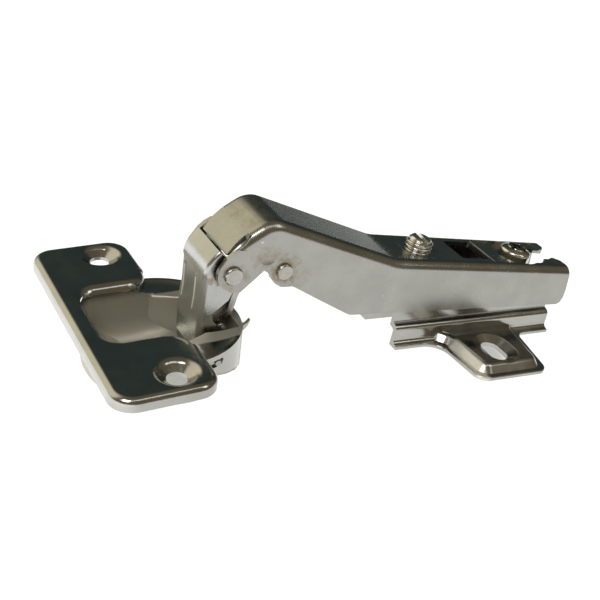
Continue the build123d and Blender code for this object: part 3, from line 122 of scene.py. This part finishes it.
def nickel(name, base=(0.40, 0.40, 0.375), rough=0.20, grease_and_dent_shade=(), specks=True, scratch=1.0, grain=1.0, satin_and_painted_sheen=None, painted_highlight_bands=()):
    """Plated steel: faint clouding, drawn scratches, pin-prick specks and brown grease round given points; on the arm
    two of the brown blots are painted shade of dents, and the satin zone and pale bands are paler, less metallic
    patches painted in as highlights.
    """
    m = Mat(name)
    cloud = m.noise(m.scaled(1, 1, 1), 150.0, 3.0, 0.55)
    fine = m.noise(m.scaled(1, 1, 1, (0.3, 0.1, 0.2)), 2600.0, 2.0, 0.5)
    drawn = m.noise(m.scaled(110, 2600, 2600), 1.0, 3.0, 0.6)
    drawn2 = m.noise(m.scaled(2200, 120, 1500, (0.7, 0.2, 0.4)), 1.0, 2.0, 0.5)
    dark = tuple(c * 0.93 for c in base) + (1,)
    lite = tuple(min(1, c * 1.05) for c in base) + (1,)
    col = m.mix(m.mapr(cloud, 0.30, 0.72), dark, lite)
    col = m.mix(m.mapr(drawn, 0.60, 0.80, 0.0, 0.22 * scratch), col, tuple(c * 0.66 for c in base) + (1,))
    col = m.mix(m.mapr(fine, 0.35, 0.70, 0.0, 0.16 * grain), col, tuple(c * 0.80 for c in base) + (1,))
    ro = m.math("ADD", m.mapr(cloud, 0.25, 0.75, rough - 0.02, rough + 0.03), m.mapr(fine, 0.3, 0.8, -0.02, 0.03))
    metal = None
    if specks:
        v = m.n("ShaderNodeTexVoronoi", feature="F1")
        m.link(m.scaled(1, 1, 1, (0.013, 0.027, 0.041)), v.inputs["Vector"])
        v.inputs["Scale"].default_value = 330.0
        v.inputs["Randomness"].default_value = 1.0
        spot = m.mapr(v.outputs["Distance"], 0.05, 0.10, 1.0, 0.0)
        some = m.mapr(m.noise(m.scaled(1, 1, 1, (0.5, 0.5, 0.1)), 420.0, 1.0), 0.60, 0.66)
        spot = m.math("MULTIPLY", spot, some)
        col = m.mix(m.math("MULTIPLY", spot, 0.55), col, (0.80, 0.79, 0.74, 1))
    mask = None
    # brown blots: real grease, and on the arm also painted shade of the dents between the ears
    for p, r0, r1, amount in grease_and_dent_shade:
        d = m.math("ADD", m.dist(p), m.mapr(m.noise(m.scaled(1, 1, 1, (0.2, 0.9, 0.4)), 420.0, 4.0, 0.65), 0.2, 0.8, -0.0016, 0.0016))
        one = m.mapr(d, r0, r1, amount, 0.0)
        mask = one if mask is None else m.math("MAXIMUM", mask, one)
    if mask is not None:
        blot = m.mapr(m.noise(m.scaled(1, 1, 1, (0.6, 0.3, 0.8)), 640.0, 3.0, 0.6), 0.35, 0.65, 0.30, 1.0)
        mask = m.math("MULTIPLY", mask, blot, clamp=True)
        col = m.mix(mask, col, (0.20, 0.145, 0.065, 1))
        ro = m.math("ADD", ro, m.math("MULTIPLY", mask, 0.10))
        metal = m.math("SUBTRACT", 1.0, m.math("MULTIPLY", mask, 0.40))
    # satin zone in the well: rougher and less metallic, and its paler colour is painted light that brightens the well
    # walls and lip
    if satin_and_painted_sheen is not None:
        frame_rot, origin, z_hi, z_lo, film, extra = satin_and_painted_sheen
        mp = m.n("ShaderNodeMapping", vector_type="TEXTURE")
        m.link(m.co, mp.inputs[0])
        mp.inputs["Location"].default_value = origin
        mp.inputs["Rotation"].default_value = (0, frame_rot, 0)
        sp = m.n("ShaderNodeSeparateXYZ")
        m.link(mp.outputs[0], sp.inputs[0])
        deep = m.mapr(sp.outputs["Z"], z_hi, z_lo, 0.0, 1.0)
        inside = m.mapr(m.math("ABSOLUTE", sp.outputs["Y"]), 0.0104, 0.0112, 1.0, 0.0)
        deep = m.math("MULTIPLY", deep, inside)
        ro = m.math("ADD", ro, m.math("MULTIPLY", deep, extra))
        thin = m.math("SUBTRACT", 1.0, m.math("MULTIPLY", deep, film))
        metal = thin if metal is None else m.math("MULTIPLY", metal, thin)
        col = m.mix(m.math("MULTIPLY", deep, 0.6), col, (0.50, 0.48, 0.40, 1))
    # pale bands: painted highlights, a paler, rougher and less metallic finish inside set boxes
    for xs, ys, zs, mirror, film, extra in painted_highlight_bands:
        sp = m.n("ShaderNodeSeparateXYZ")
        m.link(m.co, sp.inputs[0])
        yv = m.math("ABSOLUTE", sp.outputs["Y"]) if mirror else sp.outputs["Y"]
        band = None
        for v, lim in ((sp.outputs["X"], xs), (yv, ys), (sp.outputs["Z"], zs)):
            if lim is None:
                continue
            one = m.math("MULTIPLY", m.mapr(v, lim[0], lim[1]), m.mapr(v, lim[2], lim[3], 1.0, 0.0))
            band = one if band is None else m.math("MULTIPLY", band, one)
        ro = m.math("ADD", ro, m.math("MULTIPLY", band, extra))
        thin = m.math("SUBTRACT", 1.0, m.math("MULTIPLY", band, film))
        metal = thin if metal is None else m.math("MULTIPLY", metal, thin)
        col = m.mix(m.math("MULTIPLY", band, min(0.9, 1.6 * film)), col, (0.82, 0.80, 0.72, 1))
    b = m.n("ShaderNodeBsdfPrincipled")
    m.link(col, b.inputs["Base Color"])
    m.link(ro, b.inputs["Roughness"])
    if metal is None:
        b.inputs["Metallic"].default_value = 1.0
    else:
        m.link(metal, b.inputs["Metallic"])
    h = m.math("ADD", m.math("MULTIPLY", fine, 0.5), m.math("MULTIPLY", drawn2, 0.30 * scratch))
    h = m.math("ADD", h, m.math("MULTIPLY", cloud, 0.5))
    bump = m.n("ShaderNodeBump")
    bump.inputs["Strength"].default_value = 0.05 * grain
    bump.inputs["Distance"].default_value = 0.0001
    m.link(h, bump.inputs["Height"])
    m.link(bump.outputs[0], b.inputs["Normal"])
    m.link(b.outputs[0], m.out.inputs[0])
    return m.m


A = arm(-68.75, -8.5, -4.49)
B = arm(-56.70, -8.5, -3.06)
A2 = arm(-68.75, 8.5, -4.49)
B2 = arm(-56.70, 8.5, -3.06)
looks = {
    "hinge_arm": nickel("nickel_arm_look", base=(0.350, 0.352, 0.331), rough=0.24, grain=0.5, grease_and_dent_shade=[
        (A, 0.0020, 0.0040, 0.40), (B, 0.0019, 0.0046, 0.70), (A2, 0.0020, 0.0042, 0.35), (B2, 0.0019, 0.0042, 0.45),
        # these two blots are painted shade of the dents between the ears, not grease
        (arm(-62.0, -8.2, 0.3), 0.0010, 0.0046, 0.45), (arm(-62.0, 8.2, 0.3), 0.0010, 0.0046, 0.35),
        (arm(-64.0, -3.2, 6.9), 0.0012, 0.0058, 0.38), (arm(-64.0, 2.6, 6.9), 0.0012, 0.0058, 0.38), (arm(-52.5, -8.2, -4.5), 0.0005, 0.004, 0.25)]),
    "hinge_cup": nickel("nickel_cup_look", base=(0.385, 0.387, 0.365), rough=0.17, grease_and_dent_shade=[(cup(-4.2, -26.3, 1.6), 0.0006, 0.0022, 0.65)],
                        # satin zone: painted light, a paler and less metallic finish in the well and at its lip
                        satin_and_painted_sheen=(-math.radians(5.227), (-0.08368, 0, 0.01052), 0.0012, -0.0012, 0.45, 0.22)),
    "outer_link": nickel("nickel_link_look", base=(0.415, 0.42, 0.41), rough=0.25, grain=0.5, grease_and_dent_shade=[
        (arm(-71.4, -6.3, -7.0), 0.0005, 0.0020, 0.75)], painted_highlight_bands=[
        # pale bands: painted highlights on the link web and on its two crease lines
        ((-0.090, -0.089, -0.0778, -0.0766), (-0.02, -0.019, 0.019, 0.02), (0.0075, 0.010, 0.0215, 0.0245), False, 0.19, 0.08),
        (None, (-0.00246, -0.00236, -0.00206, -0.00196), (0.0126, 0.0134, 0.0205, 0.0212), False, 0.65, 0.15),
        (None, (0.00354, 0.00364, 0.00394, 0.00404), (0.0126, 0.0134, 0.0205, 0.0212), False, 0.65, 0.15)]),
    "inner_link": nickel("nickel_inner_link_look", base=(0.40, 0.39, 0.35), rough=0.27),
    # pale band: painted highlight on the left slopes of both wings
    "mounting_plate": nickel("nickel_plate_look", rough=0.19, painted_highlight_bands=[((-0.0114, -0.0104, -0.0090, -0.0074), (0.0098, 0.0120, 0.030, 0.031), None, True, 0.50, 0.20)]),
    "front_arm_rivet": nickel("rivet_look", base=(0.45, 0.447, 0.425), rough=0.28, grease_and_dent_shade=[(A, 0.0015, 0.0024, 0.2)]),
    "rear_arm_rivet": nickel("rivet_rear_look", base=(0.44, 0.435, 0.405), rough=0.28, grease_and_dent_shade=[(B, 0.0013, 0.0022, 0.3)]),
    "outer_link_axle": nickel("axle_look", base=(0.42, 0.415, 0.39), rough=0.28),
    "anchor_pins": nickel("anchor_look", base=(0.34, 0.335, 0.31), rough=0.32),
    "closing_spring": nickel("spring_look", base=(0.38, 0.375, 0.35), rough=0.26),
    "adjusting_screw": nickel("screw_look", base=(0.70, 0.69, 0.65), rough=0.20, scratch=0.4),
    "clamping_screw": nickel("clamp_screw_look", base=(0.60, 0.585, 0.53), rough=0.17, scratch=0.4),
}
looks["inner_link_axle"] = looks["outer_link_axle"]
for n, o in nodes.items():
    o.data.materials.clear()
    o.data.materials.append(looks[n])

# ---------------------------------------------------------------- threaded adjusting screw
def screw_thread(x0, z0, z1, root, crest, pitch, nt=80, per=9):
    """Helical thread about the arm's own upright at x0, in mm, closed top and bottom."""
    nz = int((z1 - z0) / pitch * per)
    pts, faces = [], []
    for i in range(nz + 1):
        z = z0 + (z1 - z0) * i / nz
        for j in range(nt):
            t = 2 * math.pi * j / nt
            f = ((z - z0) / pitch - j / nt) % 1.0
            ridge = 1.0 - abs(2 * f - 1.0)
            ridge = min(1.0, max(0.0, (ridge - 0.12) / 0.70))
            ridge = ridge * ridge * (3 - 2 * ridge)
            r = root + (crest - root) * ridge
            lim = min((z1 - z) * 1.1, (z - z0) * 1.1) + root - 0.25
            r = min(r, lim, crest)
            pts.append(arm(x0 + r * math.cos(t), r * math.sin(t), z))
    for i in range(nz):
        for j in range(nt):
            k = (j + 1) % nt
            faces.append((i * nt + j, i * nt + k, (i + 1) * nt + k, (i + 1) * nt + j))
    faces.append(tuple(range(nt - 1, -1, -1)))
    faces.append(tuple(nz * nt + j for j in range(nt)))
    return pts, faces


ADJ = -15.6
pts, faces = screw_thread(ADJ, -9.98, 2.93, 2.5, 3.28, 1.05)
tm = bpy.data.meshes.new("thread")
tm.from_pydata(pts, [], faces)
thread = bpy.data.objects.new("adjusting_screw_thread", tm)
scene.collection.objects.link(thread)
turn = math.radians(-10)
box = []
for sx, sy, sz in ((-1, -1, 0), (1, -1, 0), (1, 1, 0), (-1, 1, 0), (-1, -1, 1), (1, -1, 1), (1, 1, 1), (-1, 1, 1)):
    u, w = 0.62 * sx, 4.5 * sy
    box.append(arm(ADJ + u * math.cos(turn) - w * math.sin(turn), u * math.sin(turn) + w * math.cos(turn), 1.55 if sz == 0 else 4.3))
cm = bpy.data.meshes.new("slot_cut")
cm.from_pydata(box, [], [(0, 3, 2, 1), (4, 5, 6, 7), (0, 1, 5, 4), (1, 2, 6, 5), (2, 3, 7, 6), (3, 0, 4, 7)])
cut = bpy.data.objects.new("slot_cut", cm)
scene.collection.objects.link(cut)
mod = thread.modifiers.new("slot", "BOOLEAN")
mod.operation, mod.solver, mod.object = "DIFFERENCE", "EXACT", cut
bpy.context.view_layer.update()
done = bpy.data.meshes.new_from_object(thread.evaluated_get(bpy.context.evaluated_depsgraph_get()))
thread.modifiers.clear()
thread.data = done
bpy.data.objects.remove(cut)
done.materials.clear()
done.materials.append(looks["adjusting_screw"])
for poly in done.polygons:
    poly.use_smooth = len(poly.vertices) == 4 and poly.area < 2e-7
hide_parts("adjusting_screw")
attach(thread, "adjusting_screw")

# ---------------------------------------------------------------- fine raised edge across the web behind the window
edge = [(4.85, -0.05), (5.02, 0.10), (5.20, 0.17), (5.36, 0.13), (5.50, -0.16), (5.30, -0.30)]
ys = [-5.6, -5.3, 5.3, 5.6]
pts, faces = [], []
for y in ys:
    k = 0.1 if abs(y) > 5.5 else 1.0
    pts += [arm(x, y, z * k - 0.06 * (1 - k)) for x, z in edge]
ne = len(edge)
for i in range(len(ys) - 1):
    for j in range(ne):
        k = (j + 1) % ne
        faces.append((i * ne + j, (i + 1) * ne + j, (i + 1) * ne + k, i * ne + k))
faces.append(tuple(range(ne)))
faces.append(tuple((len(ys) - 1) * ne + j for j in range(ne - 1, -1, -1)))
em = bpy.data.meshes.new("web_edge")
em.from_pydata(pts, [], faces)
em.validate()
bmw = bmesh.new()
bmw.from_mesh(em)
bmesh.ops.recalc_face_normals(bmw, faces=bmw.faces)
bmw.to_mesh(em)
bmw.free()
for poly in em.polygons:
    poly.use_smooth = len(poly.vertices) == 4
web_edge = bpy.data.objects.new("web_edge_line", em)
scene.collection.objects.link(web_edge)
em.materials.append(looks["hinge_arm"])
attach(web_edge, "arm")

# ---------------------------------------------------------------- floor, light, camera
floor_z = -0.0062
me = bpy.data.meshes.new("floor")
me.from_pydata([(-0.85, -0.85, floor_z), (0.53, -0.85, floor_z), (0.53, 0.49, floor_z), (-0.85, 0.49, floor_z)], [], [(0, 1, 2, 3)])
floor = bpy.data.objects.new("floor", me)
scene.collection.objects.link(floor)
fm = bpy.data.materials.new("floor_white")
fm.use_nodes = True
fb = fm.node_tree.nodes["Principled BSDF"]
fb.inputs["Base Color"].default_value = (0.25, 0.25, 0.25, 1)
fb.inputs["Roughness"].default_value = 0.9
fb.inputs["Specular IOR Level"].default_value = 0.0
fb.inputs["Emission Color"].default_value = (1, 0.995, 0.985, 1)
ftc = fm.node_tree.nodes.new("ShaderNodeTexCoord")
fsep = fm.node_tree.nodes.new("ShaderNodeSeparateXYZ")
fmap = fm.node_tree.nodes.new("ShaderNodeMapRange")
fmap.interpolation_type = "SMOOTHSTEP"
fm.node_tree.links.new(ftc.outputs["Object"], fsep.inputs[0])
fm.node_tree.links.new(fsep.outputs["X"], fmap.inputs[0])
for i, x in enumerate((-0.085, -0.135, 0.97, 1.55)):
    fmap.inputs[1 + i].default_value = x
# painted contact shadow: the floor's glow is dimmed under the plate
fdist = fm.node_tree.nodes.new("ShaderNodeVectorMath")
fdist.operation = "DISTANCE"
fdist.inputs[1].default_value = (0.0065, -0.0062, floor_z)
fm.node_tree.links.new(ftc.outputs["Object"], fdist.inputs[0])
fshade = fm.node_tree.nodes.new("ShaderNodeMapRange")
fshade.interpolation_type = "SMOOTHSTEP"
for i, x in enumerate((0.004, 0.009, 0.48, 1.0)):
    fshade.inputs[1 + i].default_value = x
fm.node_tree.links.new(fdist.outputs["Value"], fshade.inputs[0])
fmul = fm.node_tree.nodes.new("ShaderNodeMath")
fmul.operation = "MULTIPLY"
fm.node_tree.links.new(fmap.outputs[0], fmul.inputs[0])
fm.node_tree.links.new(fshade.outputs[0], fmul.inputs[1])
fm.node_tree.links.new(fmul.outputs[0], fb.inputs["Emission Strength"])
me.materials.append(fm)

world = bpy.data.worlds.new("studio")
scene.world = world
world.use_nodes = True
wt = world.node_tree
wt.nodes.clear()
wo = wt.nodes.new("ShaderNodeOutputWorld")
bg = wt.nodes.new("ShaderNodeBackground")
tc = wt.nodes.new("ShaderNodeTexCoord")
nrm = wt.nodes.new("ShaderNodeVectorMath")
nrm.operation = "NORMALIZE"
dot = wt.nodes.new("ShaderNodeVectorMath")
dot.operation = "DOT_PRODUCT"
ang = wt.nodes.new("ShaderNodeMath")
ang.operation = "ARCCOSINE"
ramp = wt.nodes.new("ShaderNodeValToRGB")
wt.links.new(tc.outputs["Generated"], nrm.inputs[0])
wt.links.new(nrm.outputs[0], dot.inputs[0])
wt.links.new(dot.outputs["Value"], ang.inputs[0])
wt.links.new(ang.outputs[0], ramp.inputs[0])
# a dark panel stands behind the object
paz, pel = math.radians(56.0), math.radians(21.0)
dot.inputs[1].default_value = (math.cos(paz) * math.cos(pel), math.sin(paz) * math.cos(pel), math.sin(pel))
ramp.color_ramp.interpolation = "EASE"
ramp.color_ramp.elements[0].position = math.radians(30)
ramp.color_ramp.elements[0].color = (0.048, 0.066, 0.062, 1)
ramp.color_ramp.elements[1].position = math.radians(52)
ramp.color_ramp.elements[1].color = (0.20, 0.165, 0.11, 1)
# a broad pale wall stands to the back left
dot2 = wt.nodes.new("ShaderNodeVectorMath")
dot2.operation = "DOT_PRODUCT"
ang2 = wt.nodes.new("ShaderNodeMath")
ang2.operation = "ARCCOSINE"
lobe = wt.nodes.new("ShaderNodeMapRange")
lobe.interpolation_type = "SMOOTHSTEP"
wt.links.new(nrm.outputs[0], dot2.inputs[0])
waz, wel = math.radians(130.0), math.radians(28.0)
dot2.inputs[1].default_value = (math.cos(waz) * math.cos(wel), math.sin(waz) * math.cos(wel), math.sin(wel))
wt.links.new(dot2.outputs["Value"], ang2.inputs[0])
wt.links.new(ang2.outputs[0], lobe.inputs[0])
for i, x in enumerate((math.radians(24), math.radians(42), 1.0, 0.0)):
    lobe.inputs[1 + i].default_value = x
both = wt.nodes.new("ShaderNodeMix")
both.data_type = "RGBA"
wt.links.new(lobe.outputs[0], both.inputs[0])
wt.links.new(ramp.outputs[0], both.inputs[6])
both.inputs[7].default_value = (1.22, 1.12, 0.83, 1)
wt.links.new(both.outputs[2], bg.inputs[0])
wt.links.new(bg.outputs[0], wo.inputs[0])
bg.inputs[1].default_value = 1.0


def area(name, loc, target, size, power, glossy=True, color=(1, 1, 1)):
    d = bpy.data.lights.new(name, "AREA")
    d.shape = "RECTANGLE"
    d.size, d.size_y = size
    d.energy = power
    d.color = color
    o = bpy.data.objects.new(name, d)
    o.location = loc
    o.rotation_mode = "QUATERNION"
    o.rotation_quaternion = (Vector(target) - Vector(loc)).to_track_quat("-Z", "Y")
    o.visible_glossy = glossy
    scene.collection.objects.link(o)
    return o


mid = (-0.04, 0, 0.01)
area("key_left", (-0.62, -0.40, 0.74), mid, (0.42, 0.42), 4.2, color=(1, 0.985, 0.95))
area("strip_top", (-0.04, -0.50, 0.90), mid, (0.5, 0.16), 0.45)
area("strip_right", (0.42, -0.50, 0.72), mid, (0.26, 0.40), 0.8, color=(1, 0.99, 0.96))

# camera fitted to the photograph
a, el, rl = math.radians(-34.012), math.radians(28.172), math.radians(12.682)
back = Vector((math.sin(a) * math.cos(el), -math.cos(a) * math.cos(el), math.sin(el)))
right = Vector((math.cos(a), math.sin(a), 0))
up = back.cross(right)
r2 = math.cos(rl) * right + math.sin(rl) * up
u2 = -math.sin(rl) * right + math.cos(rl) * up
cd = bpy.data.cameras.new("camera")
cd.sensor_width = 36.0
cd.lens = 1003.013 / 600 * 36.0
cd.shift_x = (300 - 298.416) / 600
cd.shift_y = (301.512 - 300) / 600
cd.clip_start, cd.clip_end = 0.01, 20
cam = bpy.data.objects.new("camera", cd)
rot = Matrix((r2, u2, back)).transposed()
cam.matrix_world = Matrix.Translation((-0.1649, -0.17033, 0.12099)) @ rot.to_4x4()
scene.collection.objects.link(cam)
scene.camera = cam
scene.view_settings.view_transform = "Standard"
scene.view_settings.look = "None"
